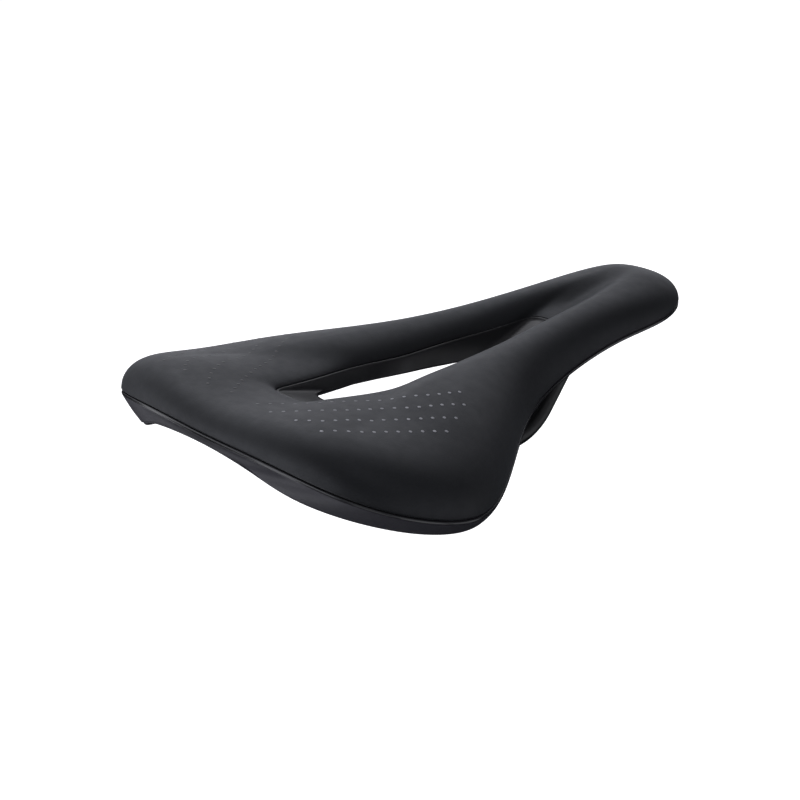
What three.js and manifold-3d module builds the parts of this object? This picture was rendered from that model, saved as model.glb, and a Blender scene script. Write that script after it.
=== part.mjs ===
// A short-nosed bicycle saddle with a long relief cutout and one bent rail.
//
// Millimetres. +Y points to the nose, +X to the saddle's right, +Z up.
// The origin is where a seatpost clamps the rail: midway between its two straight
// lengths, at their mid-length, at the height of their centre lines.

import * as THREE from 'three';
import { mergeVertices } from 'three/addons/utils/BufferGeometryUtils.js';
import Module from 'manifold-3d';

const wasm = await Module();
wasm.setup();

const vec = (x, y, z) => new THREE.Vector3(x, y, z);

// ---- driving dimensions ---------------------------------------------------------------

const GAP = 0.4; // clearance between neighbouring pieces

// The saddle's surface hangs on five closed curves. Each is a cubic B-spline through the
// control points of its right half, tail to nose, and their mirror image.
const RIM = [ // lower edge of the cover
  [0, -98, 36], [32, -97.5, 37], [60, -93, 33], [75, -77, 25], [82, -53, 17], [72.5, -30, 13.5],
  [55, -4, 16.5], [37.5, 22.5, 21], [29.5, 55.5, 24.5], [26, 90, 27.5], [27.5, 120.5, 27.5],
  [18, 142.5, 30], [0, 146, 30],
];
const CREST = [ // highest line of the pad
  [0, -88, 43.4], [24, -88.5, 45.6], [43.2, -83, 47.1], [47, -71, 44.2], [36.1, -51, 41],
  [32.1, -30.5, 42.3], [28.6, -7.5, 40.9], [23.5, 17.5, 39.6], [19, 47.5, 39.1],
  [13.5, 82.5, 40.3], [9.7, 107, 40.4], [7.1, 123, 41.6], [0, 127.5, 40.7],
];
const CUTOUT = [ // edge of the cover round the relief cutout
  [0, -60.8, 37.9], [9.3, -60.8, 37.9], [9.7, -57.4, 37.8], [12, -38.6, 35.1],
  [14.5, -23.1, 33.6], [13.5, -9, 32.7], [12, 4, 31.7], [10.9, 18.4, 32.1], [9.8, 34.3, 31.9],
  [7.5, 48.5, 31.9], [6.3, 60.8, 32.2], [6.4, 72.8, 32], [0, 73.5, 32.5],
];
const HOLE = [ // bottom edge of the liner
  [0, -45, 32.5], [6, -44, 32.5], [8.5, -40, 31.5], [10, -34, 30.3], [11, -22, 28.5], [11, -8, 27],
  [10.5, 4, 25.5], [10, 16, 24.5], [9, 26, 23.5], [8, 34, 23], [7, 42, 23.5], [4, 48, 24],
  [0, 50, 24],
];
const SKIRT = [ // bottom edge of the shell's skirt
  [0, -99.5, 34.5], [27.5, -101.5, 34], [42, -95, 24.5], [61, -74.5, 14], [70, -50, 6],
  [65, -27, 2], [50, -3, 7], [33, 21, 16.5], [24, 55, 20.5], [20.5, 89, 23.5],
  [22, 118.5, 23.5], [14, 136, 26], [0, 139.5, 26],
];
const STATIONS = 72; // sections round the saddle

const COVER_THICKNESS = 1.2;
const ARC_STEPS = 5; // steps in each quarter arc of the cover's section
const SLOPE_SHARE = 0.37; // how far the cutout side of the section is a slope, not an ellipse
const NOSE_SLOPE_SHARE = 0.85; // the same in the nose, where it makes a shallow channel
const NOSE_SLOPE_START = 50;
const NOSE_SLOPE_FULL = 100;
const SLOPE_POWER = 1.7;
const CHANNEL_DEPTH = 2.2; // the channel ahead of the cutout, where it is deepest
const CHANNEL_WIDTH = 5;
const CHANNEL_START = 74;
const CHANNEL_FULL = 92;
const CHANNEL_FADE = 100;
const CHANNEL_END = 126;
const FOAM_GAP = 0.6; // between the cover and the pad
const FOAM_EDGE_RISE = 0.9; // keeps the pad's outer edge off the plate
const PLATE_DISH = 1.2; // how far the shell's plate sags between its edges, under the rider
const NOSE_CROWN = 3.7; // how far it bulges up instead in the nose
const NOSE_CROWN_START = 20;
const NOSE_CROWN_FULL = 90;
const PLATE_THICKNESS = 2.4;
const PLATE_PLACES = [0.3, 0.6, 0.8]; // where its section bends, from 0, rim, to 1, cutout
const LIP_HEIGHT = 1; // upright edge round the shell's rim
const SEAT_WIDTH = 1.8; // level ledge under the cover's edge
const SKIRT_THICKNESS = 2;
const SKIRT_BULGE = 0.4; // how far its outer face swells between its edges
const WALL_FILLET = 0.6; // extra thickness where the skirt leaves the plate
const SKIN_CLEARANCE = 0.2; // extra gap that slanting faces need
const LINER_THICKNESS = 1.3;
const LINER_SETBACK = 0.3; // from the cover's edge
const PAD_ROOF = 45; // the shell's pads are made this high, then cut off under its plate
const CUTTER_HEIGHT = 80;

const RAIL_RADIUS = 3.5;
const RAIL_SIDES = 16;
const RAIL_BEND_STEPS = 5;
const RAIL_CENTRES = 44; // between the two straight lengths
const RAIL_STRAIGHT_FRONT = 41.3; // where the straight lengths would meet the slopes
const RAIL_STRAIGHT_BACK = -38.2;
const RAIL_BEND = 30; // bend radius at the ends of the straight lengths
const SHOULDER = vec(18, 65, 20); // top of the front slope
const SHOULDER_BEND = 14;
const LOOP_CORNER = vec(9, 104, 25); // corner of the nose loop
const LOOP_BEND = 8.5;
const RAIL_END = vec(28, -68, 19);

const BUSH = { inner: 4, outer: 5.2, length: 16, endWall: 1, endGap: 0.4 };
const SOCKET_WALL = 2; // round the bush
const SOCKET_BACK = 1.6; // how far it reaches past the rail's tip
const SOCKET_FRONT = 15; // how far it reaches forward of the tip
const SOCKET_WEB = 26; // height of its sides before the top is cut level
const SOCKET_TOP = 26.2; // level face that meets the shell's pad
const EARS = { x: 28, y: -61, width: 31, length: 12, thickness: 3, corner: 5 };
const EAR_SCREW_SPACING = 24;

const NOSE_MIDDLE = 98;
const NOSE_BLOCK = { back: 36, front: 27, length: 24, corner: 2.5 }; // widths and length
const NOSE_SPLIT = 24; // level where the cap meets the bracket
const NOSE_TOP = 29.4; // level face that meets the shell's pad
const NOSE_BOTTOM = 18.2;
const NOSE_SCREWS = [90, 96.5];
const EAR_SCREW_TIP = 30.2; // heights that the screws reach inside the shell
const NOSE_SCREW_TIP = 31.8;

const SCREW = {
  radius: 1.5, tipRadius: 0.7, tipTaper: 0.8, headRadius: 2.8, headHeight: 2, headChamfer: 0.4,
  hexRadius: 1.25, hexDepth: 1.2, sides: 12,
};

// ---- materials ------------------------------------------------------------------------

const finish = (color, roughness, metalness = 0) =>
  new THREE.MeshStandardMaterial({ color, roughness, metalness });

const coverSkin = finish(0x1f2023, 0.6);
const foam = finish(0x3c3c40, 0.95);
const shellPlastic = finish(0x232327, 0.5);
const linerPlastic = finish(0x1c1c1e, 0.35);
const railSteel = finish(0x161617, 0.35, 0.6);
const rubber = finish(0x101011, 0.85);
const screwSteel = finish(0x2a2a2c, 0.35, 0.9);

// ---- curves ---------------------------------------------------------------------------

const mix = (from, to, t) => from.clone().lerp(to, t);

function closedControls(half) {
  const right = half.map(([x, y, z]) => vec(x, y, z));
  const left = right.slice(1, -1).reverse().map((p) => vec(-p.x, p.y, p.z));
  return [...right, ...left];
}

function bSplinePoint(controls, turn) {
  const n = controls.length;
  const i = Math.floor(turn * n);
  const f = turn * n - i;
  const weights = [
    (1 - f) ** 3 / 6,
    (3 * f ** 3 - 6 * f ** 2 + 4) / 6,
    (-3 * f ** 3 + 3 * f ** 2 + 3 * f + 1) / 6,
    f ** 3 / 6,
  ];
  const point = vec(0, 0, 0);
  weights.forEach((w, k) => point.addScaledVector(controls[(i + k - 1 + n) % n], w));
  return point;
}

const CURVES = {
  rim: closedControls(RIM),
  crest: closedControls(CREST),
  cutout: closedControls(CUTOUT),
  hole: closedControls(HOLE),
  skirt: closedControls(SKIRT),
};

// The five curve points at one station, with the level direction out of the saddle.
function stationAt(index) {
  const turn = index / STATIONS;
  const station = {};
  for (const [name, controls] of Object.entries(CURVES)) {
    station[name] = bSplinePoint(controls, turn);
  }
  const outward = station.rim.clone().sub(station.cutout);
  station.outward = outward.setZ(0).normalize();
  return station;
}

const stations = Array.from({ length: STATIONS }, (_, i) => stationAt(i));

const shifted = (point, direction, distance, rise = 0) =>
  point.clone().addScaledVector(direction, distance).add(vec(0, 0, rise));

// ---- solids ---------------------------------------------------------------------------

// Joins rings of points into one closed body. The rings close on themselves when `closed`
// is true, and otherwise both ends are capped with a fan.
function loft(rings, closed) {
  const size = rings[0].length;
  const positions = rings.flat().flatMap((p) => [p.x, p.y, p.z]);
  const faces = [];
  const last = closed ? rings.length : rings.length - 1;
  for (let i = 0; i < last; i += 1) {
    const a = i * size;
    const b = ((i + 1) % rings.length) * size;
    for (let j = 0; j < size; j += 1) {
      const k = (j + 1) % size;
      faces.push(a + j, a + k, b + k, a + j, b + k, b + j);
    }
  }
  if (!closed) {
    const end = (rings.length - 1) * size;
    for (let j = 1; j < size - 1; j += 1) {
      faces.push(0, j + 1, j, end, end + j, end + j + 1);
    }
  }
  return bodyFrom(positions, faces);
}

function bodyFrom(positions, faces) {
  const geometry = new THREE.BufferGeometry();
  geometry.setAttribute('position', new THREE.Float32BufferAttribute(positions, 3));
  geometry.setIndex(volumeOf(positions, faces) < 0 ? faces.slice().reverse() : faces);
  return geometry;
}

function volumeOf(positions, faces) {
  const corner = (i) => vec(...positions.slice(3 * i, 3 * i + 3));
  let sum = 0;
  for (let f = 0; f < faces.length; f += 3) {
    const [a, b, c] = [faces[f], faces[f + 1], faces[f + 2]].map(corner);
    sum += a.dot(b.cross(c));
  }
  return sum / 6;
}

function toManifold(geometry) {
  const plain = geometry.clone();
  plain.deleteAttribute('normal');
  plain.deleteAttribute('uv');
  const merged = mergeVertices(plain, 1e-4);
  return new wasm.Manifold(new wasm.Mesh({
    numProp: 3,
    vertProperties: new Float32Array(merged.attributes.position.array),
    triVerts: new Uint32Array(merged.index.array),
  }));
}

function toGeometry(manifold) {
  const mesh = manifold.getMesh();
  const geometry = new THREE.BufferGeometry();
  geometry.setAttribute('position', new THREE.BufferAttribute(mesh.vertProperties, 3));
  geometry.setIndex(new THREE.BufferAttribute(mesh.triVerts, 1));
  return geometry;
}

function cut(geometry, tools) {
  const body = tools.reduce((rest, tool) => rest.subtract(toManifold(tool)), toManifold(geometry));
  return toGeometry(body);
}

// ---- cover and pad --------------------------------------------------------------------

// How far the channel ahead of the cutout lowers a point.
function channelDepth({ x, y }) {
  const { smoothstep } = THREE.MathUtils;
  const rising = smoothstep(y, CHANNEL_START, CHANNEL_FULL);
  const falling = smoothstep(y, CHANNEL_FADE, CHANNEL_END);
  return CHANNEL_DEPTH * rising * (1 - falling) * Math.exp(-((x / CHANNEL_WIDTH) ** 2));
}

// One section of the padded surface, from the rim over the crest to the cutout. Both sides
// are level at the crest. The rim side is a quarter ellipse, and the cutout side falls away
// sooner, as a slope.
function crownSection(rim, crest, cutout) {
  const { lerp, smoothstep } = THREE.MathUtils;
  const nose = smoothstep(crest.y, NOSE_SLOPE_START, NOSE_SLOPE_FULL);
  const slope = lerp(SLOPE_SHARE, NOSE_SLOPE_SHARE, nose);
  const points = [];
  for (let i = 0; i <= ARC_STEPS; i += 1) {
    const angle = (i / ARC_STEPS) * (Math.PI / 2);
    const p = mix(rim, crest, 1 - Math.cos(angle));
    points.push(p.setZ(lerp(rim.z, crest.z, Math.sin(angle))));
  }
  for (let i = 1; i <= ARC_STEPS; i += 1) {
    const angle = (i / ARC_STEPS) * (Math.PI / 2);
    const level = Math.sin(angle);
    const fall = lerp(1 - Math.cos(angle), level ** SLOPE_POWER, slope);
    const p = mix(crest, cutout, level);
    points.push(p.setZ(lerp(crest.z, cutout.z, fall)));
  }
  return points.map((p) => p.setZ(p.z - channelDepth(p)));
}

// The same section, a given depth below the surface.
function insetSection({ rim, crest, cutout, outward }, depth) {
  return crownSection(
    shifted(rim, outward, -depth),
    shifted(crest, outward, 0, -depth),
    shifted(cutout, outward, depth),
  );
}

function coverGeometry() {
  return loft(stations.map((station) => [
    ...insetSection(station, 0),
    ...insetSection(station, COVER_THICKNESS).reverse(),
  ]), true);
}

// A point of the shell's plate: `across` runs from 0 at the rim to 1 at the cutout.
function platePoint({ rim, cutout }, across, rise) {
  const nose = THREE.MathUtils.smoothstep(rim.y, NOSE_CROWN_START, NOSE_CROWN_FULL);
  const dish = -PLATE_DISH * 4 * across * (1 - across);
  const bulge = NOSE_CROWN * (27 / 4) * across * (1 - across) ** 2; // highest a third across
  const profile = THREE.MathUtils.lerp(dish, bulge, nose);
  return mix(rim, cutout, across).add(vec(0, 0, rise + profile));
}

const plateLine = (station, rise) =>
  PLATE_PLACES.map((across) => platePoint(station, across, rise));

const acrossFor = ({ rim, cutout }, distance) => distance / rim.distanceTo(cutout);

function foamGeometry() {
  const depth = COVER_THICKNESS + FOAM_GAP;
  return loft(stations.map((station) => {
    const edge = acrossFor(station, depth + SKIN_CLEARANCE);
    const top = insetSection(station, depth);
    top[0].z += FOAM_EDGE_RISE;
    return [
      ...top,
      platePoint(station, 1 - edge, 0),
      ...plateLine(station, 0).reverse(),
      platePoint(station, edge, 0),
    ];
  }), true);
}

// ---- shell and liner ------------------------------------------------------------------

// How far inside the rim the skirt's outer face is, at a depth below the rim.
function skirtInset({ rim, skirt, outward }, depth) {
  const inset = outward.dot(rim.clone().sub(skirt));
  const drop = rim.z - skirt.z;
  return inset * THREE.MathUtils.clamp((depth - GAP - LIP_HEIGHT) / (drop - LIP_HEIGHT), 0, 1);
}

function shellGeometry() {
  const top = -GAP;
  const bottom = top - PLATE_THICKNESS;
  return loft(stations.map((station) => {
    const { rim, skirt, outward } = station;
    const inner = 1 - acrossFor(station, GAP + SKIN_CLEARANCE);
    const wallInset = skirtInset(station, -bottom) + SKIRT_THICKNESS + WALL_FILLET;
    const wall = acrossFor(station, wallInset);
    const lip = shifted(rim, outward, 0, top - LIP_HEIGHT);
    const middle = mix(lip, skirt, 0.5);
    return [
      shifted(rim, outward, 0, top),
      shifted(rim, outward, -SEAT_WIDTH, top),
      ...plateLine(station, top),
      platePoint(station, inner, top),
      platePoint(station, inner, bottom),
      ...plateLine(station, bottom).slice(1).reverse(),
      platePoint(station, THREE.MathUtils.lerp(wall, PLATE_PLACES[1], 1 / 3), bottom),
      platePoint(station, wall, bottom),
      shifted(skirt, outward, -SKIRT_THICKNESS),
      skirt,
      shifted(middle, outward, SKIRT_BULGE),
      lip,
    ];
  }), true);
}

// The cutout's wall: a low rounded top edge, and a hollow slope down to the hole.
function linerGeometry() {
  return loft(stations.map(({ cutout, hole, outward }) => {
    const edge = shifted(cutout, outward, -LINER_SETBACK);
    const topIn = shifted(edge, outward, -LINER_THICKNESS, -0.2);
    const lowOut = shifted(hole, outward, 0.9, -0.9);
    return [
      shifted(edge, outward, 0, -0.6),
      shifted(edge, outward, -LINER_THICKNESS / 2, 0.1),
      topIn,
      mix(topIn, hole, 0.35),
      mix(topIn, hole, 0.7),
      hole,
      lowOut,
      mix(lowOut, shifted(edge, outward, 0, -1.4), 0.5),
      shifted(edge, outward, 0, -1.8),
    ];
  }), true);
}

// ---- rail -----------------------------------------------------------------------------

// Straight lengths joined by round bends: [{ point, tangent }] along the centre line.
function bentPath(corners, radii, bendSteps) {
  const path = [];
  const direction = (from, to) => to.clone().sub(from).normalize();
  path.push({ point: corners[0], tangent: direction(corners[0], corners[1]) });
  for (let i = 1; i < corners.length - 1; i += 1) {
    const before = direction(corners[i - 1], corners[i]);
    const after = direction(corners[i], corners[i + 1]);
    const turn = before.angleTo(after);
    const reach = radii[i] * Math.tan(turn / 2);
    const start = corners[i].clone().addScaledVector(before, -reach);
    const inward = after.clone().addScaledVector(before, -after.dot(before)).normalize();
    for (let k = 0; k <= bendSteps; k += 1) {
      const angle = (turn * k) / bendSteps;
      const point = start.clone()
        .addScaledVector(before, radii[i] * Math.sin(angle))
        .addScaledVector(inward, radii[i] * (1 - Math.cos(angle)));
      const tangent = before.clone().multiplyScalar(Math.cos(angle))
        .addScaledVector(inward, Math.sin(angle));
      path.push({ point, tangent });
    }
  }
  const last = corners.length - 1;
  path.push({ point: corners[last], tangent: direction(corners[last - 1], corners[last]) });
  return path;
}

// A many-sided ring square to the path, with flats that face up and down.
function ringAround({ point, tangent }, radius, sides) {
  const side = tangent.clone().cross(vec(0, 0, 1)).normalize();
  const up = side.clone().cross(tangent);
  const corner = radius / Math.cos(Math.PI / sides);
  return Array.from({ length: sides }, (_, k) => {
    const angle = ((k + 0.5) / sides) * 2 * Math.PI;
    return point.clone()
      .addScaledVector(side, corner * Math.cos(angle))
      .addScaledVector(up, corner * Math.sin(angle));
  });
}

const mirrored = (p) => vec(-p.x, p.y, p.z);

function railPath() {
  const half = RAIL_CENTRES / 2;
  const right = [
    RAIL_END,
    vec(half, RAIL_STRAIGHT_BACK, 0),
    vec(half, RAIL_STRAIGHT_FRONT, 0),
    SHOULDER,
    LOOP_CORNER,
  ];
  const radii = [0, RAIL_BEND, RAIL_BEND, SHOULDER_BEND, LOOP_BEND];
  const corners = [...right, ...right.slice().reverse().map(mirrored)];
  return bentPath(corners, [...radii, ...radii.slice().reverse()], RAIL_BEND_STEPS);
}

const railBar = (extra) =>
  loft(railPath().map((place) => ringAround(place, RAIL_RADIUS + extra, RAIL_SIDES)), false);

// ---- fixings --------------------------------------------------------------------------

// A cap screw that stands on its head: the head is below z = 0, the shank above it.
function screwGeometry(length) {
  const { radius, headRadius, headHeight, headChamfer, hexRadius, hexDepth } = SCREW;
  const profile = [
    [0, -headHeight],
    [headRadius - headChamfer, -headHeight],
    [headRadius, -headHeight + headChamfer],
    [headRadius, 0],
    [radius, 0],
    [radius, length - SCREW.tipTaper],
    [SCREW.tipRadius, length],
    [0, length],
  ].map(([x, y]) => new THREE.Vector2(x, y));
  const body = new THREE.LatheGeometry(profile, SCREW.sides).rotateX(Math.PI / 2);
  const key = new THREE.CylinderGeometry(hexRadius, hexRadius, 2 * hexDepth, 6)
    .rotateX(Math.PI / 2)
    .translate(0, 0, -headHeight);
  return cut(body, [key]);
}

// A round tool from the ground plane to just past the screw's tip.
function screwHole({ x, y, tip }) {
  const radius = SCREW.radius + GAP;
  const height = tip + GAP;
  return new THREE.CylinderGeometry(radius, radius, height, SCREW.sides)
    .rotateX(Math.PI / 2)
    .translate(x, y, height / 2);
}

// A level block with round corners, wider at the back than at the front.
function roundedBlock({ back, front, length, corner }, low, high) {
  const outline = [
    [-back / 2, -length / 2], [back / 2, -length / 2], [front / 2, length / 2],
    [-front / 2, length / 2],
  ].map(([x, y]) => new THREE.Vector2(x, y));
  const shape = new THREE.Shape();
  outline.forEach((at, i) => {
    const before = outline[(i + 3) % 4].clone().sub(at).setLength(corner).add(at);
    const after = outline[(i + 1) % 4].clone().sub(at).setLength(corner).add(at);
    if (i === 0) {
      shape.moveTo(before.x, before.y);
    } else {
      shape.lineTo(before.x, before.y);
    }
    shape.quadraticCurveTo(at.x, at.y, after.x, after.y);
  });
  const settings = { depth: high - low, bevelEnabled: false, curveSegments: 3 };
  return new THREE.ExtrudeGeometry(shape, settings).translate(0, 0, low);
}

const noseBlock = (low, high) =>
  roundedBlock(NOSE_BLOCK, low, high).translate(0, NOSE_MIDDLE, 0);

const earsBlock = (side, low, high) => {
  const { x, y, width, length, corner } = EARS;
  const size = { back: width, front: width, length, corner };
  return roundedBlock(size, low, high).translate(side * x, y, 0);
};

// Places along the rail's right tail end, measured back from its tip.
const tailDirection = RAIL_END.clone()
  .sub(vec(RAIL_CENTRES / 2, RAIL_STRAIGHT_BACK, 0))
  .normalize();
const tailPlace = (back) => ({
  point: RAIL_END.clone().addScaledVector(tailDirection, -back),
  tangent: tailDirection,
});

const mirroredGeometry = (geometry, side) => {
  if (side > 0) {
    return geometry;
  }
  const copy = geometry.clone().scale(-1, 1, 1);
  copy.setIndex(Array.from(copy.index.array).reverse());
  return copy;
};

const tailTube = (radius, from, to) => {
  const ends = [tailPlace(from), tailPlace(to)];
  return loft(ends.map((place) => ringAround(place, radius, RAIL_SIDES)), false);
};

// A sleeve on the rail's end, closed behind its tip.
function bushGeometry() {
  const { inner, outer, length, endWall, endGap } = BUSH;
  const past = 2; // the bore's tool passes through the open end
  return cut(tailTube(outer, length, -endWall), [tailTube(inner, length + past, -endGap)]);
}

// A round pod round the bush, with a web up to the ears.
function socketGeometry() {
  const radius = BUSH.outer + GAP + SOCKET_WALL;
  const section = ({ point, tangent }) => {
    const side = tangent.clone().cross(vec(0, 0, 1)).normalize();
    const up = side.clone().cross(tangent);
    const at = (across, rise) =>
      point.clone().addScaledVector(side, across).addScaledVector(up, rise);
    const arc = Array.from({ length: 9 }, (_, k) => {
      const angle = Math.PI * (1 + k / 8);
      return at(radius * Math.cos(angle), radius * Math.sin(angle));
    });
    return [...arc, at(radius, SOCKET_WEB), at(-radius, SOCKET_WEB)];
  };
  const ends = [tailPlace(SOCKET_FRONT), tailPlace(-SOCKET_BACK)];
  const pod = loft(ends.map(section), false);
  const above = new THREE.BoxGeometry(CUTTER_HEIGHT, CUTTER_HEIGHT, CUTTER_HEIGHT)
    .translate(EARS.x, EARS.y, SOCKET_TOP + CUTTER_HEIGHT / 2);
  const ears = earsBlock(1, SOCKET_TOP - EARS.thickness, SOCKET_TOP);
  const body = toManifold(pod).subtract(toManifold(above)).add(toManifold(ears));
  const boreEnd = BUSH.endWall + GAP / 2;
  const bore = tailTube(BUSH.outer + GAP, SOCKET_FRONT + RAIL_RADIUS, -boreEnd);
  return cut(toGeometry(body), [bore, ...earScrews(1).map(screwHole)]);
}

const earScrews = (side) => [-1, 1].map((end) => ({
  x: side * (EARS.x + (end * EAR_SCREW_SPACING) / 2),
  y: EARS.y,
  tip: EAR_SCREW_TIP,
}));

const noseScrews = NOSE_SCREWS.map((y) => ({ x: 0, y, tip: NOSE_SCREW_TIP }));

// The shell with a level pad over each fixing and the screws' holes.
function drilledShell() {
  const buried = -GAP - PLATE_THICKNESS / 2;
  const above = loft(stations.map((station) => [
    platePoint(station, 0, buried),
    ...plateLine(station, buried),
    platePoint(station, 1, buried),
    platePoint(station, 1, buried).setZ(CUTTER_HEIGHT),
    platePoint(station, 0, buried).setZ(CUTTER_HEIGHT),
  ]), true);
  const pads = [
    noseBlock(NOSE_TOP + GAP, PAD_ROOF),
    earsBlock(1, SOCKET_TOP + GAP, PAD_ROOF),
    earsBlock(-1, SOCKET_TOP + GAP, PAD_ROOF),
  ];
  const overhead = toManifold(above);
  const shell = pads.reduce(
    (body, pad) => body.add(toManifold(pad).subtract(overhead)),
    toManifold(shellGeometry()),
  );
  const holes = [...earScrews(1), ...earScrews(-1), ...noseScrews].map(screwHole);
  return cut(toGeometry(shell), holes);
}

// ---- the assembly ---------------------------------------------------------------------

const saddle = new THREE.Group();

function add(name, geometry, material, position = vec(0, 0, 0)) {
  const mesh = new THREE.Mesh(geometry, material);
  mesh.name = name;
  mesh.position.copy(position);
  saddle.add(mesh);
}

add('cover', coverGeometry(), coverSkin);
add('foam_pad', foamGeometry(), foam);
add('base_shell', drilledShell(), shellPlastic);
add('cutout_liner', linerGeometry(), linerPlastic);
add('rail', railBar(0), railSteel);

const groove = railBar(GAP);
const noseHoles = noseScrews.map(screwHole);
const bracket = noseBlock(NOSE_SPLIT + GAP / 2, NOSE_TOP);
const cap = noseBlock(NOSE_BOTTOM, NOSE_SPLIT - GAP / 2);
add('nose_bracket', cut(bracket, [groove, ...noseHoles]), shellPlastic);
add('nose_cap', cut(cap, [groove, ...noseHoles]), shellPlastic);
const noseScrew = screwGeometry(NOSE_SCREW_TIP - NOSE_BOTTOM + GAP);
add('nose_screw_back', noseScrew, screwSteel, vec(0, NOSE_SCREWS[0], NOSE_BOTTOM - GAP));
add('nose_screw_front', noseScrew, screwSteel, vec(0, NOSE_SCREWS[1], NOSE_BOTTOM - GAP));

const socket = socketGeometry();
const bush = bushGeometry();
const earBottom = SOCKET_TOP - EARS.thickness - GAP;
const earScrew = screwGeometry(EAR_SCREW_TIP - earBottom);
for (const [side, hand] of [[1, 'right'], [-1, 'left']]) {
  add(`socket_${hand}`, mirroredGeometry(socket, side), shellPlastic);
  add(`bush_${hand}`, mirroredGeometry(bush, side), rubber);
  earScrews(side).forEach(({ x, y }, i) => {
    const name = `socket_screw_${hand}_${i === 0 ? 'inner' : 'outer'}`;
    add(name, earScrew, screwSteel, vec(x, y, earBottom));
  });
}

export default saddle;
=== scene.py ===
"""Looks for a short-nosed bicycle saddle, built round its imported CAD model.

Metres, in the CAD model's frame: +Y to the nose, +X to the saddle's right, +Z up, with
the origin where a seatpost clamps the rail.
"""

import math

import bpy
import numpy as np
from mathutils import Matrix, Vector
from mathutils.bvhtree import BVHTree


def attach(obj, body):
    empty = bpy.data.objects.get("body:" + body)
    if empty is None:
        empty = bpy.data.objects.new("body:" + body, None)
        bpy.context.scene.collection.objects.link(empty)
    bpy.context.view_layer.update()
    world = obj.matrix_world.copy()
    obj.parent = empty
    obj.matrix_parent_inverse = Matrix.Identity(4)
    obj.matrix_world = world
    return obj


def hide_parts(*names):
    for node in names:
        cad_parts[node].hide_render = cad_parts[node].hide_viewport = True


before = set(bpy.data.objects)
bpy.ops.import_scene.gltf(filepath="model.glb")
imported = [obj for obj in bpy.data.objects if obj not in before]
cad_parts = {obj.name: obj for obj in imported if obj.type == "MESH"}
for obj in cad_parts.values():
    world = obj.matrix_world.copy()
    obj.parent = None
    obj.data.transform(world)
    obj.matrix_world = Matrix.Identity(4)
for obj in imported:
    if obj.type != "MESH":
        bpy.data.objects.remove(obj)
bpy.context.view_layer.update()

MM = 0.001

# ---- the saddle's five guiding curves, in mm: right half, tail to nose -------------------

# The seam between the cover and the shell.
RIM = [
    (0, -98, 36), (32, -97.5, 37), (60, -93, 33), (75, -77, 25), (82, -53, 17),
    (72.5, -30, 13.5), (55, -4, 16.5), (37.5, 22.5, 21), (29.5, 55.5, 24.5), (26, 90, 27.5),
    (27.5, 120.5, 27.5), (18, 142.5, 30), (0, 146, 30),
]
# The highest line of the padding.
CREST = [
    (0, -88, 43.4), (24, -88.5, 45.6), (43.2, -83, 47.1), (47, -71, 44.2), (36.1, -51, 41),
    (32.1, -30.5, 42.3), (28.6, -7.5, 40.9), (23.5, 17.5, 39.6), (19, 47.5, 39.1),
    (13.5, 82.5, 40.3), (9.7, 107, 40.4), (7.1, 123, 41.6), (0, 127.5, 40.7),
]
# The cover's edge round the cutout.
CUTOUT = [
    (0, -60.8, 37.9), (9.3, -60.8, 37.9), (9.7, -57.4, 37.8), (12, -38.6, 35.1),
    (14.5, -23.1, 33.6), (13.5, -9, 32.7), (12, 4, 31.7), (10.9, 18.4, 32.1), (9.8, 34.3, 31.9),
    (7.5, 48.5, 31.9), (6.3, 60.8, 32.2), (6.4, 72.8, 32), (0, 73.5, 32.5),
]
# The liner's foot, round the hole.
HOLE = [
    (0, -45, 32.5), (6, -44, 32.5), (8.5, -40, 31.5), (10, -34, 30.3), (11, -22, 28.5),
    (11, -8, 27), (10.5, 4, 25.5), (10, 16, 24.5), (9, 26, 23.5), (8, 34, 23),
    (7, 42, 23.5), (4, 48, 24), (0, 50, 24),
]
# The shell's lowest edge.
SKIRT = [
    (0, -99.5, 34.5), (27.5, -101.5, 34), (42, -95, 24.5), (61, -74.5, 14), (70, -50, 6),
    (65, -27, 2), (50, -3, 7), (33, 21, 16.5), (24, 55, 20.5), (20.5, 89, 23.5),
    (22, 118.5, 23.5), (14, 136, 26), (0, 139.5, 26),
]
STATIONS = 288

# ---- driving dimensions, in metres -------------------------------------------------------

# Clearances: between pieces, what slanting faces need on top, and between cover and foam.
GAP = 0.4 * MM
SKIN_CLEARANCE = 0.2 * MM
FOAM_GAP = 0.6 * MM

# The crown: how far its fall to the cutout is a slope rather than an ellipse.
SLOPE_SHARE = 0.37
NOSE_SLOPE_SHARE = 0.85
NOSE_SLOPE_START, NOSE_SLOPE_FULL = 50 * MM, 100 * MM
SLOPE_POWER = 1.7

# The shallow channel ahead of the cutout.
CHANNEL_DEPTH = 2.2 * MM
CHANNEL_WIDTH = 5 * MM
CHANNEL_START, CHANNEL_FULL = 74 * MM, 92 * MM
CHANNEL_FADE, CHANNEL_END = 100 * MM, 126 * MM

# The cover's skin and the radii of its rolled edges. A rolled edge runs on past the roll's
# centre and lifts there. The inner face and the foam stop short of the edges.
COVER_THICKNESS = 1.2 * MM
SEAM_ROLL = 0.8 * MM
CUTOUT_ROLL = 0.5 * MM
ROLL_RUN = 0.4 * MM
ROLL_LIFT = 0.12 * MM
INNER_EDGE_LIFT = 0.4 * MM
FOAM_EDGE_LIFT = 0.9 * MM

# The shell's plate: dished under the wings, and crowned under the nose.
PLATE_THICKNESS = 2.4 * MM
PLATE_DISH = 1.2 * MM
PLATE_HEM = 0.4 * MM
PLATE_MARGIN = 1 * MM
NOSE_CROWN = 3.7 * MM
NOSE_CROWN_START, NOSE_CROWN_FULL = 20 * MM, 90 * MM

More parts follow.
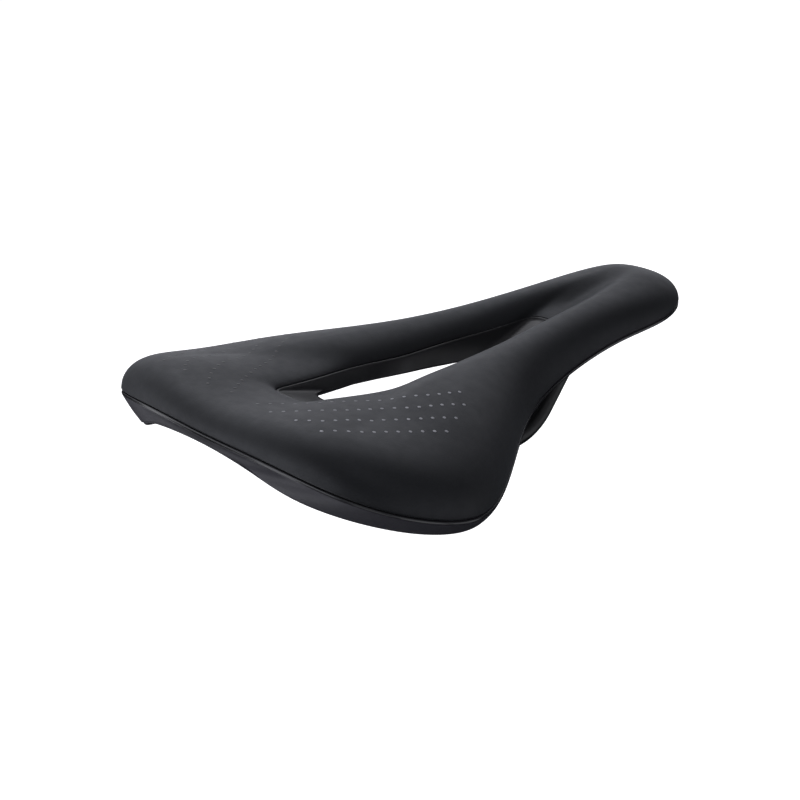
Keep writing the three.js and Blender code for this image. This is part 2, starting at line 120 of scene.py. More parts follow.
# The shell's seat for the cover's edge, its lip outside that, and its skirt.
SEAT_WIDTH = 1.8 * MM
LIP_HEIGHT = 1 * MM
LIP_ROUND = 0.45 * MM
LIP_FLAT = 0.3 * MM
SKIRT_THICKNESS = 2 * MM
SKIRT_BULGE = 0.5 * MM
SKIRT_EDGE_RISE = 0.95 * MM
WALL_FILLET = 0.6 * MM

# The liner: its top edge is tucked under the cover's. Its foot is given as distances outside
# the hole's edge, and rises from it.
LINER_THICKNESS = 1.3 * MM
LINER_TUCK = 0.08 * MM
LINER_DROP = 0.35 * MM
LINER_FOOT = [(0.25 * MM, -0.35 * MM), (0.75 * MM, -0.5 * MM), (1.1 * MM, -0.6 * MM)]
LINER_BACK_DROP = 1.6 * MM

# How many steps a section's curves take.
CROWN_STEPS, INNER_STEPS, FOAM_STEPS = 22, 14, 12
PLATE_STEPS, SKIRT_STEPS, SKIRT_INNER_STEPS, LINER_STEPS = 14, 14, 6, 14


def closed_spline(half, count):
    """A closed uniform cubic B-spline through the half's points and their mirror image."""
    right = np.array(half, float) * MM
    left = right[1:-1][::-1] * (-1, 1, 1)
    controls = np.vstack([right, left])
    turn = np.arange(count) * len(controls) / count
    i = np.floor(turn).astype(int)
    f = (turn - i)[:, None]
    weights = (
        (1 - f) ** 3 / 6,
        (3 * f**3 - 6 * f**2 + 4) / 6,
        (-3 * f**3 + 3 * f**2 + 3 * f + 1) / 6,
        f**3 / 6,
    )
    return sum(w * controls[(i + k - 1) % len(controls)] for k, w in enumerate(weights))


rim = closed_spline(RIM, STATIONS)
crest = closed_spline(CREST, STATIONS)
cutout = closed_spline(CUTOUT, STATIONS)
hole = closed_spline(HOLE, STATIONS)
skirt = closed_spline(SKIRT, STATIONS)
outward = (rim - cutout) * (1, 1, 0)
outward /= np.linalg.norm(outward, axis=1)[:, None]
UP = np.array((0, 0, 1.0))


def shifted(curve, distance, rise=0.0):
    """The curve moved level, out of the saddle, and up. Each may vary along the curve."""
    distance = np.reshape(distance, (-1, 1))
    return curve + outward * distance + UP * np.reshape(rise, (-1, 1))


def smooth_step(value, start, full):
    """Eases from 0 at start to 1 at full, as a column with one row for each value."""
    share = np.clip((value - start) / (full - start), 0, 1)
    return (share**2 * (3 - 2 * share))[:, None]


slope_share = smooth_step(crest[:, 1], NOSE_SLOPE_START, NOSE_SLOPE_FULL)
slope_share = SLOPE_SHARE + (NOSE_SLOPE_SHARE - SLOPE_SHARE) * slope_share
nose_share = smooth_step(rim[:, 1], NOSE_CROWN_START, NOSE_CROWN_FULL)


def channel_depth(curve):
    """How far the channel ahead of the cutout lowers each point."""
    rising = smooth_step(curve[:, 1], CHANNEL_START, CHANNEL_FULL)
    falling = smooth_step(curve[:, 1], CHANNEL_FADE, CHANNEL_END)
    level = np.exp(-(curve[:, :1] / CHANNEL_WIDTH) ** 2)
    return CHANNEL_DEPTH * rising * (1 - falling) * level


def crown(inset=0.0, steps=CROWN_STEPS):
    """Curves from the rim over the crest to the cutout, at a depth below the surface.

    The rim side is a quarter ellipse. The cutout side falls away sooner, as a slope. All of
    it is then lowered by the channel.
    """
    low = shifted(rim, -inset)
    top = shifted(crest, 0, -inset)
    inner = shifted(cutout, inset)
    curves = []
    for angle in np.linspace(0, math.pi / 2, steps + 1):
        share = np.array((1 - math.cos(angle), 1 - math.cos(angle), math.sin(angle)))
        curves.append(low + (top - low) * share)
    for angle in np.linspace(0, math.pi / 2, steps + 1)[1:]:
        level = math.sin(angle)
        ellipse = 1 - math.cos(angle)
        fall = ellipse + (level**SLOPE_POWER - ellipse) * slope_share
        curves.append(top + (inner - top) * np.hstack([fall * 0 + level, fall * 0 + level, fall]))
    return [curve - UP * channel_depth(curve) for curve in curves]


def plate(across, rise):
    """A curve on the shell's plate: 0 at the rim, 1 at the cutout's edge."""
    across = np.reshape(across, (-1, 1))
    dish = PLATE_DISH * 4 * across * (1 - across)
    bulge = NOSE_CROWN * 6.75 * across * (1 - across) ** 2
    return rim + (cutout - rim) * across + UP * (rise - dish + (dish + bulge) * nose_share)


def across_for(distance):
    """A level distance as a share of the way from the rim to the cutout's edge."""
    return distance / np.linalg.norm(cutout - rim, axis=1)


# ---- mesh helpers ------------------------------------------------------------------------


def new_object(name, vertices, faces, smooth=True):
    """A mesh object in the scene, at the origin."""
    mesh = bpy.data.meshes.new(name)
    mesh.from_pydata([tuple(v) for v in vertices], [], faces)
    mesh.validate()
    if smooth:
        mesh.shade_smooth()
    piece = bpy.data.objects.new(name, mesh)
    bpy.context.scene.collection.objects.link(piece)
    return piece


def outward_faces(vertices, faces):
    """The faces, turned so that the closed body's volume is positive."""
    v = np.asarray(vertices)
    total = 0.0
    for face in faces:
        a = v[face[0]]
        for b, c in zip(face[1:-1], face[2:]):
            total += np.dot(a, np.cross(v[b], v[c]))
    return faces if total > 0 else [face[::-1] for face in faces]


def loft(name, curves, closed=True):
    """Joins equal rings of points into one closed body: round on itself, or capped."""
    rings = np.array(curves)
    count, size = rings.shape[:2]
    vertices = rings.reshape(-1, 3)
    faces = []
    for i in range(count if closed else count - 1):
        a, b = i * size, ((i + 1) % count) * size
        for j in range(size):
            k = (j + 1) % size
            faces.append((a + j, a + k, b + k, b + j))
    if not closed:
        end = (count - 1) * size
        faces.append(tuple(range(size))[::-1])
        faces.append(tuple(range(end, end + size)))
    return new_object(name, vertices, outward_faces(vertices, faces))


def arc(centre_distance, centre_rise, radius, start, end, steps):
    """(distance, rise) pairs on an arc in a station's section, angles in degrees."""
    angles = np.radians(np.linspace(start, end, steps + 1))
    return [
        (centre_distance + radius * math.cos(a), centre_rise + radius * math.sin(a))
        for a in angles
    ]


def along(curve, pairs):
    """The curve shifted by each (distance, rise) pair."""
    return [shifted(curve, distance, rise) for distance, rise in pairs]


# ---- materials ---------------------------------------------------------------------------


class Paint:
    """A material built from nodes, in the saddle's own coordinates."""

    def __init__(self, name, **shader):
        self.material = bpy.data.materials.new(name)
        self.material.use_nodes = True
        self.tree = self.material.node_tree
        self.shader = self.tree.nodes["Principled BSDF"]
        for socket, value in shader.items():
            self.shader.inputs[socket.replace("_", " ")].default_value = value
        self.place = self.tree.nodes.new("ShaderNodeTexCoord").outputs["Object"]
        self.normal = None

    def node(self, kind, inputs, **settings):
        """A new node, with each input linked to a socket or set to a value."""
        made = self.tree.nodes.new(kind)
        for key, value in settings.items():
            setattr(made, key, value)
        for key, value in inputs.items():
            if isinstance(value, bpy.types.NodeSocket):
                self.tree.links.new(value, made.inputs[key])
            else:
                made.inputs[key].default_value = value
        return made

    def noise(self, scale, detail=3.0, roughness=0.5):
        return self.node("ShaderNodeTexNoise", {
            "Vector": self.place,
            "Scale": scale,
            "Detail": detail,
            "Roughness": roughness,
        }).outputs["Fac"]

    def cells(self, scale):
        inputs = {"Vector": self.place, "Scale": scale}
        return self.node("ShaderNodeTexVoronoi", inputs, feature="F1").outputs["Distance"]

    def spread(self, value, low, high, start=0.3, end=0.7):
        """The value's range from start to end, mapped to low to high."""
        return self.node("ShaderNodeMapRange", {
            "Value": value,
            "From Min": start,
            "From Max": end,
            "To Min": low,
            "To Max": high,
        }).outputs["Result"]

    def blend(self, factor, first, second):
        """Two colours mixed. A Mix node's colour sockets are 6 and 7, and 2 on the way out."""
        inputs = {0: factor, 6: first, 7: second}
        return self.node("ShaderNodeMix", inputs, data_type="RGBA").outputs[2]

    def axis(self, name):
        return self.node("ShaderNodeSeparateXYZ", {"Vector": self.place}).outputs[name]

    def bump(self, height, distance):
        """Adds a bump of this height pattern, at most the distance in mm deep."""
        inputs = {"Height": height, "Distance": distance * MM, "Strength": 1.0}
        if self.normal is not None:
            inputs["Normal"] = self.normal
        self.normal = self.node("ShaderNodeBump", inputs).outputs["Normal"]

    def finish(self, color, roughness):
        """Links the shader's inputs, and gives the finished material."""
        self.tree.links.new(color, self.shader.inputs["Base Color"])
        self.tree.links.new(roughness, self.shader.inputs["Roughness"])
        if self.normal is not None:
            self.tree.links.new(self.normal, self.shader.inputs["Normal"])
        return self.material


def grey(value, blue=1.0):
    """A grey, colder where blue is above 1."""
    return (value, value, value * blue, 1)


def tint(value):
    """A cold black, for the cover."""
    return (value * 0.92, value, value * 1.18, 1)


def violet(value):
    """A grey with a little violet, for the shell."""
    return (value * 1.02, value, value * 1.18, 1)


def cover_leather():
    p = Paint("cover_leather", Specular_IOR_Level=0.58, Specular_Tint=(0.93, 0.95, 1, 1),
              Sheen_Weight=0.14, Sheen_Roughness=0.4, Sheen_Tint=(0.9, 0.93, 1, 1))
    broad = p.noise(28, 2)
    fine = p.noise(1900, 3, 0.6)
    pores = p.cells(1500)
    color = p.blend(p.spread(broad, 0, 1), tint(0.011), tint(0.014))
    p.bump(pores, 0.02)
    p.bump(fine, 0.012)
    return p.finish(color, p.spread(p.noise(240, 4), 0.5, 0.58))


def ink_with_painted_shade():
    """The dots' ink, with painted shade: bright on the saddle's right wing, and painted dark grey
    on its left, where the light leaves the dots dim.
    """
    p = Paint("printed_ink_with_painted_shade", Metallic=0.5)
    color = p.blend(p.spread(p.noise(900, 2), 0, 1), grey(0.34, 1.08), grey(0.42, 1.08))
    # Painted shade: the dots are dark grey from 4 mm right of the middle leftwards, and reach the
    # ink's own grey 30 mm to the right.
    painted_left_shade = p.spread(p.axis("X"), 0, 1, 0.004, 0.03)
    color = p.blend(painted_left_shade, grey(0.07, 1.05), color)
    p.bump(p.noise(2500), 0.01)
    return p.finish(color, p.spread(p.noise(700), 0.34, 0.44))


def foam_cells():
    p = Paint("foam_cells", Specular_IOR_Level=0.2)
    cells = p.cells(900)
    color = p.blend(p.spread(cells, 0, 1, 0.1, 0.6), grey(0.03), grey(0.075))
    p.bump(cells, 0.25)
    return p.finish(color, p.spread(p.noise(300), 0.85, 0.98))


def shell_nylon():
    p = Paint("shell_nylon")
    spark = p.noise(2100, 2, 0.6)
    flow = p.noise(14, 3)
    color = p.blend(p.spread(flow, 0, 1), violet(0.064), violet(0.076))
    p.bump(spark, 0.03)
    return p.finish(color, p.spread(p.noise(120, 3), 0.42, 0.5))


def shell_lip():
    p = Paint("shell_lip", Specular_IOR_Level=0.9)
    color = p.blend(p.spread(p.noise(40), 0, 1), grey(0.04, 1.1), grey(0.05, 1.1))
    p.bump(p.noise(300, 2), 0.004)
    return p.finish(color, p.spread(p.noise(160, 3), 0.14, 0.2))


def liner_plastic():
    p = Paint("liner_plastic", Specular_IOR_Level=0.7)
    color = p.blend(p.spread(p.noise(30), 0, 1), grey(0.034, 1.08), grey(0.041, 1.08))
    p.bump(p.noise(1500, 2), 0.006)
    return p.finish(color, p.spread(p.noise(150, 3), 0.32, 0.4))


def rail_paint():
    p = Paint("rail_paint", Coat_Weight=0.25, Coat_Roughness=0.3)
    wear = p.spread(p.noise(180, 6, 0.7), 0, 1, 0.56, 0.68)
    color = p.blend(wear, grey(0.012), grey(0.03))
    p.bump(p.noise(700, 2), 0.008)
    return p.finish(color, p.spread(p.noise(90, 4), 0.32, 0.44))


def fixing_plastic():
    p = Paint("fixing_plastic")
    color = p.blend(p.spread(p.noise(60, 3), 0, 1), grey(0.018), grey(0.026))
    p.bump(p.noise(1600, 2), 0.03)
    return p.finish(color, p.spread(p.noise(200, 3), 0.48, 0.6))


def bush_rubber():
    p = Paint("bush_rubber", Specular_IOR_Level=0.3)
    color = p.blend(p.spread(p.noise(120, 4), 0, 1), grey(0.008), grey(0.014))
    p.bump(p.noise(1200, 3), 0.02)
    return p.finish(color, p.spread(p.noise(400), 0.75, 0.9))


def screw_steel():
    p = Paint("screw_steel", Metallic=1.0)
    scratch = p.noise(1400, 3, 0.6)
    color = p.blend(p.spread(scratch, 0, 1), grey(0.05), grey(0.09))
    p.bump(scratch, 0.004)
    return p.finish(color, p.spread(p.noise(500, 3), 0.28, 0.42))


def dress(piece, *materials):
    """Adds the materials to the piece's slots, in order."""
    for material in materials:
        piece.data.materials.append(material)


# ---- cover, pad, shell and liner ---------------------------------------------------------


def make_cover():
    """A thin skin over the padding, rolled under at the seam and at the cutout."""
    rolled_rim = along(rim, [
        (-SEAM_ROLL - ROLL_RUN, ROLL_LIFT),
        *arc(-SEAM_ROLL, SEAM_ROLL, SEAM_ROLL, -100, 0, 6),
    ])
    rolled_cutout = along(cutout, [
        *arc(CUTOUT_ROLL, CUTOUT_ROLL, CUTOUT_ROLL, 180, 280, 5),
        (CUTOUT_ROLL + ROLL_RUN, ROLL_LIFT),
    ])
    outer = crown()[2:-2]
    inner = crown(COVER_THICKNESS, INNER_STEPS)[::-1]
    inner[0] = inner[0] + UP * INNER_EDGE_LIFT
    inner[-1] = inner[-1] + UP * INNER_EDGE_LIFT
    return loft("cover_skin", rolled_rim + outer + rolled_cutout + inner)


def make_pad():
    """The moulded foam, from under the cover down to the shell's plate."""
    depth = COVER_THICKNESS + FOAM_GAP
    top = crown(depth, FOAM_STEPS)
    top[0] = top[0] + UP * FOAM_EDGE_LIFT
    edge = across_for(depth + SKIN_CLEARANCE)
    under = [plate(across, 0) for across in (1 - edge, 0.66, 0.33, edge)]
    return loft("pad_foam", top + under)


def skirt_inset(depth):
    """How far inside the rim the skirt's outer face is, at a depth below the rim."""
    inset = np.sum(outward * (rim - skirt), axis=1)
    drop = rim[:, 2] - skirt[:, 2]
    return inset * np.clip((depth - GAP - LIP_HEIGHT) / (drop - LIP_HEIGHT), 0, 1)


def lip_curves(top):
    """The round edge under the seam, from its highest line down to the skirt."""
    rounded = arc(-LIP_ROUND, top - LIP_ROUND, LIP_ROUND, 90, 0, 5)
    return along(rim, [*rounded, (0, top - LIP_HEIGHT * 0.75), (0, top - LIP_HEIGHT)])


def skirt_curves(head, root):
    """The skirt: down its outer face from the head, round its edge, and up to its root."""
    outer_face = []
    for share in np.linspace(0, 1, SKIRT_STEPS)[1:-1]:
        curve = head + (skirt - head) * share
        outer_face.append(shifted(curve, SKIRT_BULGE * math.sin(math.pi * share)))
    radius = SKIRT_THICKNESS / 2
    edge = along(skirt, arc(-radius, SKIRT_EDGE_RISE, radius, -5, -175, 8))
    foot = shifted(skirt, -SKIRT_THICKNESS)
    shares = np.linspace(0.15, 0.85, SKIRT_INNER_STEPS)
    inner_face = [foot + (root - foot) * share for share in shares]
    return outer_face + edge + inner_face


def plate_curves(wall, inner, top, bottom):
    """The plate: along its underside, round its edge at the cutout, and back on top."""
    under = []
    for share in np.linspace(0.04, 0.96, PLATE_STEPS):
        under.append(plate(wall + (inner - wall) * share, bottom))
    hem = [plate(inner, bottom + PLATE_HEM), plate(inner, top - PLATE_HEM)]
    start = across_for(SEAT_WIDTH + PLATE_MARGIN)
    over = []
    for share in np.linspace(0, 1, PLATE_STEPS):
        over.append(plate(inner + (start - inner) * share, top))
    return under + hem + over


def make_shell():
    """The plate, lip and skirt in one body. Its lip is glossier than the rest."""
    top = -GAP
    bottom = top - PLATE_THICKNESS
    inner = 1 - across_for(GAP + SKIN_CLEARANCE)
    wall = across_for(skirt_inset(-bottom) + SKIRT_THICKNESS + WALL_FILLET)
    seat = [shifted(rim, -SEAT_WIDTH, top), shifted(rim, -LIP_ROUND - LIP_FLAT, top)]
    lip = lip_curves(top)
    skirt_wall = skirt_curves(lip[-1], plate(wall, bottom))
    curves = seat + lip + skirt_wall + plate_curves(wall, inner, top, bottom)
    piece = loft("shell_body", curves)
    dress(piece, shell_nylon(), shell_lip())
    first = len(seat)
    last = first + len(lip) - 2
    for face in piece.data.polygons:
        if first <= face.index // STATIONS <= last:
            face.material_index = 1
    return piece


def make_liner():
    """The cutout's moulded wall: a rounded top edge, then a hollow ramp to the hole."""
    edge = shifted(cutout, LINER_TUCK)
    radius = LINER_THICKNESS / 2
    rounded = along(edge, arc(-radius, -LINER_DROP, radius, 0, 180, 8))
    start = shifted(edge, -LINER_THICKNESS, -LINER_DROP)
    wall = [start + (hole - start) * share for share in np.linspace(0.08, 1, LINER_STEPS)]
    foot = along(hole, LINER_FOOT)
    back_top = shifted(edge, 0, -LINER_BACK_DROP)
    back = [foot[-1] + (back_top - foot[-1]) * share for share in (0.4, 0.8, 1)]
    return loft("liner_wall", rounded + wall + foot + back)


cover = make_cover()
pad = make_pad()
shell = make_shell()
liner = make_liner()

# ---- rail: from here to the dots, dimensions are in mm -----------------------------------

RAIL_RADIUS = 3.5
RAIL_CHAMFER = 0.5
RAIL_SIDES = 40
# The right half's corners, tail to nose, and the bend at each.
RAIL_CORNERS = [(28, -68, 19), (22, -38.2, 0), (22, 41.3, 0), (18, 65, 20), (9, 104, 25)]
RAIL_BENDS = [0, 30, 30, 14, 8.5]
BEND_STEPS = 18


def bent_path(corners, radii):
    """(point, tangent) pairs along straight lengths joined by round bends."""
    corners = [Vector(c) for c in corners]
    path = [(corners[0], (corners[1] - corners[0]).normalized())]
    for i in range(1, len(corners) - 1):
        before = (corners[i] - corners[i - 1]).normalized()
        after = (corners[i + 1] - corners[i]).normalized()
        turn = before.angle(after)
        start = corners[i] - before * radii[i] * math.tan(turn / 2)
        inward = (after - before * after.dot(before)).normalized()
        for k in range(BEND_STEPS + 1):
            angle = turn * k / BEND_STEPS
            point = start + before * radii[i] * math.sin(angle)
            point = point + inward * radii[i] * (1 - math.cos(angle))
            path.append((point, before * math.cos(angle) + inward * math.sin(angle)))
    path.append((corners[-1], (corners[-1] - corners[-2]).normalized()))
    return path


def turns(sides):
    """Evenly spaced angles once round a circle."""
    return [2 * math.pi * k / sides for k in range(sides)]


def ring(point, tangent, radius, sides):
    """A circle of points across the tangent."""
    side = tangent.cross(Vector((0, 0, 1))).normalized()
    up = side.cross(tangent)
    return [point + side * radius * math.cos(a) + up * radius * math.sin(a) for a in turns(sides)]


def loft_mm(name, rings):
    """An open loft with capped ends, through rings of points in mm."""
    return loft(name, [[tuple(p * MM) for p in r] for r in rings], closed=False)


def rail_path():
    """The whole rail's (point, tangent) pairs, from its right tail end to its left."""
    corners = RAIL_CORNERS + [(-x, y, z) for x, y, z in RAIL_CORNERS[::-1]]
    return bent_path(corners, RAIL_BENDS + RAIL_BENDS[::-1])


def make_rail():
    """One round bar, bent along its path, with a small chamfer at each end."""
    path = rail_path()
    rings = [ring(point, tangent, RAIL_RADIUS, RAIL_SIDES) for point, tangent in path]
    for at, inward in ((0, 1), (-1, -1)):
        point, tangent = path[at]
        start = point + tangent * RAIL_CHAMFER * inward
        rings[at] = ring(start, tangent, RAIL_RADIUS, RAIL_SIDES)
    first = ring(*path[0], RAIL_RADIUS - RAIL_CHAMFER, RAIL_SIDES)
    last = ring(*path[-1], RAIL_RADIUS - RAIL_CHAMFER, RAIL_SIDES)
    return loft_mm("rail_rod", [first, *rings, last])


rail = make_rail()

# ---- nose bracket, sockets, bushes and screws, in mm -------------------------------------

SEAT_GAP = 0.4
GROOVE_GAP = 0.25
GROOVE_SIDES = 32

# Blocks: x, y, width at the back, width at the front, length, corner radius.
NOSE_BLOCK = (0, 98, 36, 27, 24, 2.5)
EARS = (28, -61, 31, 31, 12, 5)
CORNER_STEPS = 6
LEAST_CORNER = 0.3
EDGE_FILLET = 0.3
SHARP = 0.001

NOSE_TOP, NOSE_SPLIT, NOSE_BOTTOM = 29.4, 24, 18.2
CAP_FILLET = 1.6

BUSH_INNER, BUSH_OUTER, BUSH_LENGTH = 3.6, 5.2, 16

SOCKET_TOP = 26.2
SOCKET_WALL = 2
SOCKET_FRONT, SOCKET_REAR = BUSH_LENGTH - 1, -1.6
SOCKET_FILLET = 1.2
SOCKET_CHAMFER = 0.4
SOCKET_RISE = 26
SOCKET_STEPS = 24
EARS_THICKNESS = 3
EARS_FILLETS = (0.6, 0.15)
BORE_REAR = -1.2
BORE_RUN_OUT = 8
BORE_GAP = 0.15
CUTTER_SIZE, CUTTER_HEIGHT = 120, 60

# The bush's section, flange first: how far along the rail from its tip, and the radius.
BUSH_PROFILE = [
    (BUSH_LENGTH + 0.6, BUSH_INNER + 0.3), (BUSH_LENGTH + 0.9, BUSH_INNER + 0.7),
    (BUSH_LENGTH + 0.9, BUSH_OUTER + 0.7), (BUSH_LENGTH + 0.6, BUSH_OUTER + 1.1),
    (BUSH_LENGTH - 0.3, BUSH_OUTER + 1.1), (BUSH_LENGTH - 0.6, BUSH_OUTER + 0.8),
    (BUSH_LENGTH - 0.7, BUSH_OUTER), (1, BUSH_OUTER), (-0.4, BUSH_OUTER - 0.6),
    (-0.9, BUSH_OUTER - 1.2), (-0.9, 0.5), (-0.6, 0.3), (-0.35, BUSH_INNER - 0.3),
    (0, BUSH_INNER), (BUSH_LENGTH, BUSH_INNER),
]
BUSH_SIDES = 40

NOSE_SCREWS = {"back": 90, "front": 96.5}
EAR_SCREW_SPACING = 24
EAR_SCREW_TIP, NOSE_SCREW_TIP = 30.2, 31.8
SCREW_RADIUS, HEAD_RADIUS, HEAD_HEIGHT = 1.5, 2.8, 2.0
SCREW_SIDES = 36
HEX_RADIUS, HEX_DEPTH = 1.25, 1.2
HEX_LEAD_IN = 0.12
# The head's rounded edge: how far in from its side, and how far up from its end face.
HEAD_ROUND = [(0.5, 0), (0.2, 0.07), (0.05, 0.25), (0, 0.5)]
HEAD_SHARP_ANGLE = 40
TIP_RADIUS, TIP_LENGTH = 0.7, 0.8
HOLE_SIDES = 24
HOLE_LOW, HOLE_HIGH = 5, 40

# How moulded edges are softened.
SOFT_WIDTH = 0.25
SOFT_ANGLE = 35

HANDS = {"right": 1, "left": -1}


def quarter_round(steps):
    """(rise, inset) pairs for a rounded edge of unit radius, from its side to its end face."""
    angles = [math.pi / 2 * k / steps for k in range(steps + 1)]
    return [(1 - math.sin(a), 1 - math.cos(a)) for a in angles]


def block_outline(block, inset):
    """A level outline with round corners; wider at the back than at the front."""
    x, y, back, front, length, corner = block
    corner = max(corner - inset, LEAST_CORNER)
    half = length / 2 - inset
    back, front = back / 2 - inset, front / 2 - inset
    points = []
    corners = [(back, -half, -90), (front, half, 0), (-front, half, 90), (-back, -half, 180)]
    for cx, cy, start in corners:
        px, py = cx - math.copysign(corner, cx), cy - math.copysign(corner, cy)
        for k in range(CORNER_STEPS + 1):
            a = math.radians(start + 90 * k / CORNER_STEPS)
            points.append((x + px + corner * math.cos(a), y + py + corner * math.sin(a)))
    return points


def rounded_block(name, block, low, high, fillet_low, fillet_high):
    """A block between two levels, with rounded lower and upper edges."""
    lower = [(low + fillet_low * rise, fillet_low * inset) for rise, inset in quarter_round(4)]
    upper = [(high - fillet_high * rise, fillet_high * inset) for rise, inset in quarter_round(2)]
    levels = lower[::-1] + upper
    rings = [[Vector((*p, z)) for p in block_outline(block, inset)] for z, inset in levels]
    return loft_mm(name, rings)


def combine(piece, others, operation):
    """Joins the other bodies to the piece, or cuts them from it, and deletes them."""
    for other in others:
        step = piece.modifiers.new("combine", "BOOLEAN")
        step.operation = operation
        step.solver = "EXACT"
        step.object = other
    finished = bpy.data.meshes.new_from_object(
        piece.evaluated_get(bpy.context.evaluated_depsgraph_get())
    )
    piece.modifiers.clear()
    piece.data = finished
    finished.name = piece.name
    for other in others:
        bpy.data.objects.remove(other)


def soften(piece):
    """Rounds the piece's crisp edges a little, as moulding does."""
    bevel = piece.modifiers.new("soften", "BEVEL")
    bevel.width = SOFT_WIDTH * MM
    bevel.segments = 2
    bevel.limit_method = "ANGLE"
    bevel.angle_limit = math.radians(SOFT_ANGLE)
    bevel.use_clamp_overlap = True
    piece.data.shade_smooth()
    piece.data.set_sharp_from_angle(angle=math.radians(SOFT_ANGLE))


def level_circle(x, y, z, radius, sides):
    return [Vector((x + radius * math.cos(a), y + radius * math.sin(a), z)) for a in turns(sides)]


def level_hexagon(x, y, z, apothem, sides):
    """A hexagon's outline, with as many points as the circles that it is lofted to."""
    points = []
    for a in turns(sides):
        off = (a + math.pi / 6) % (math.pi / 3) - math.pi / 6
        reach = apothem / math.cos(off)
        points.append(Vector((x + reach * math.cos(a), y + reach * math.sin(a), z)))
    return points


def holes(places, low=HOLE_LOW, high=HOLE_HIGH):
    """Upright rods at the (x, y) places, to cut screw holes with."""
    radius = SCREW_RADIUS + SEAT_GAP / 2
    rods = []
    for x, y in places:
        ends = [level_circle(x, y, z, radius, HOLE_SIDES) for z in (low, high)]
        rods.append(loft_mm("hole", ends))
    return rods


def ear_screws(side):
    """The inner and outer screw's place in one socket's ears."""
    return [(side * (EARS[0] + end * EAR_SCREW_SPACING / 2), EARS[1]) for end in (-1, 1)]


nose_places = [(0, y) for y in NOSE_SCREWS.values()]


def make_nose_block(name, low, high, fillet_low):
    """The bracket or the cap: half of the block that holds the rail's loop."""
    block = rounded_block(name, NOSE_BLOCK, low, high, fillet_low, EDGE_FILLET)
    radius = RAIL_RADIUS + GROOVE_GAP
    groove = loft_mm("groove", [ring(*place, radius, GROOVE_SIDES) for place in rail_path()])
    combine(block, [groove, *holes(nose_places)], "DIFFERENCE")
    soften(block)
    return block


split_low, split_high = NOSE_SPLIT - SEAT_GAP / 2, NOSE_SPLIT + SEAT_GAP / 2
bracket = make_nose_block("nose_bracket_block", split_high, NOSE_TOP, EDGE_FILLET)
cap = make_nose_block("nose_cap_block", NOSE_BOTTOM, split_low, CAP_FILLET)

tail_end = Vector(RAIL_CORNERS[0])
tail_direction = (tail_end - Vector(RAIL_CORNERS[1])).normalized()


def tail_point(back, side):
    """A place on the rail's tail end, measured back from its tip, with its direction."""
    point = tail_end - tail_direction * back
    flip = Vector((side, 1, 1))
    return point * flip, tail_direction * flip


def make_bush(side, hand):
    """A flanged rubber sleeve over the rail's tail end, all but closed past its tip."""
    rings = []
    for back, radius in BUSH_PROFILE:
        points = ring(*tail_point(back, side), radius, BUSH_SIDES)
        rings.append([tuple(p * MM) for p in points])
    return loft(f"bush_sleeve_{hand}", rings)


def socket_section(back, side, radius):
    """A section across the rail's tail end: round below, with straight sides going up."""
    point, tangent = tail_point(back, side)
    across = tangent.cross(Vector((0, 0, 1))).normalized()
    up = across.cross(tangent)
    outline = []
    for k in range(SOCKET_STEPS + 1):
        angle = math.pi * (1 + k / SOCKET_STEPS)
        outline.append(point + (across * math.cos(angle) + up * math.sin(angle)) * radius)
    outline.append(point + across * radius + up * SOCKET_RISE)
    outline.append(point - across * radius + up * SOCKET_RISE)
    return outline


def make_socket(side, hand):
    """A round pod with two ears, cut level at the top and bored for the bush and screws."""
    radius = BUSH_OUTER + SEAT_GAP + SOCKET_WALL
    places = [(SOCKET_FRONT, radius - SOCKET_CHAMFER), (SOCKET_FRONT - SOCKET_CHAMFER, radius)]
    for rise, inset in quarter_round(4):
        places.append((SOCKET_REAR + SOCKET_FILLET * rise, radius - SOCKET_FILLET * inset))
    sections = [socket_section(back, side, size) for back, size in places]
    pod = loft_mm(f"socket_pod_{hand}", sections)
    x, y = EARS[0] * side, EARS[1]
    wide = (x, y, CUTTER_SIZE, CUTTER_SIZE, CUTTER_SIZE, 5)
    roof = SOCKET_TOP + CUTTER_HEIGHT
    above = rounded_block("above", wide, SOCKET_TOP, roof, SHARP, SHARP)
    combine(pod, [above], "DIFFERENCE")
    low = SOCKET_TOP - EARS_THICKNESS
    ears = rounded_block("ears", (x, *EARS[1:]), low, SOCKET_TOP, *EARS_FILLETS)
    combine(pod, [ears], "UNION")
    bore_ends = [tail_point(back, side) for back in (BUSH_LENGTH + BORE_RUN_OUT, BORE_REAR)]
    bore = loft_mm("bore", [ring(*end, BUSH_OUTER + BORE_GAP, BUSH_SIDES) for end in bore_ends])
    combine(pod, [bore, *holes(ear_screws(side))], "DIFFERENCE")
    soften(pod)
    return pod


def make_screw(name, x, y, seat, tip):
    """A cap screw, head down, with a hexagon socket."""
    def circle(radius, z):
        return level_circle(x, y, z, radius, SCREW_SIDES)

    def hexagon(apothem, z):
        return level_hexagon(x, y, z, apothem, SCREW_SIDES)

    bottom = seat - HEAD_HEIGHT
    flat = HEX_RADIUS * math.cos(math.pi / 6)
    socket = [
        circle(0.15, bottom + HEX_DEPTH + 0.3), hexagon(flat - 0.1, bottom + HEX_DEPTH),
        hexagon(flat, bottom + HEX_DEPTH - 0.1), hexagon(flat, bottom + 0.15),
        hexagon(flat + HEX_LEAD_IN, bottom),
    ]
    head = [circle(HEAD_RADIUS - inset, bottom + rise) for inset, rise in HEAD_ROUND]
    head += [circle(HEAD_RADIUS, seat - 0.1), circle(HEAD_RADIUS - 0.1, seat)]
    shank = [
        circle(SCREW_RADIUS + 0.2, seat), circle(SCREW_RADIUS, seat + 0.2),
        circle(SCREW_RADIUS, tip - TIP_LENGTH), circle(TIP_RADIUS, tip),
    ]
    screw = loft_mm(name, socket + head + shank)
    screw.data.set_sharp_from_angle(angle=math.radians(HEAD_SHARP_ANGLE))
    return screw


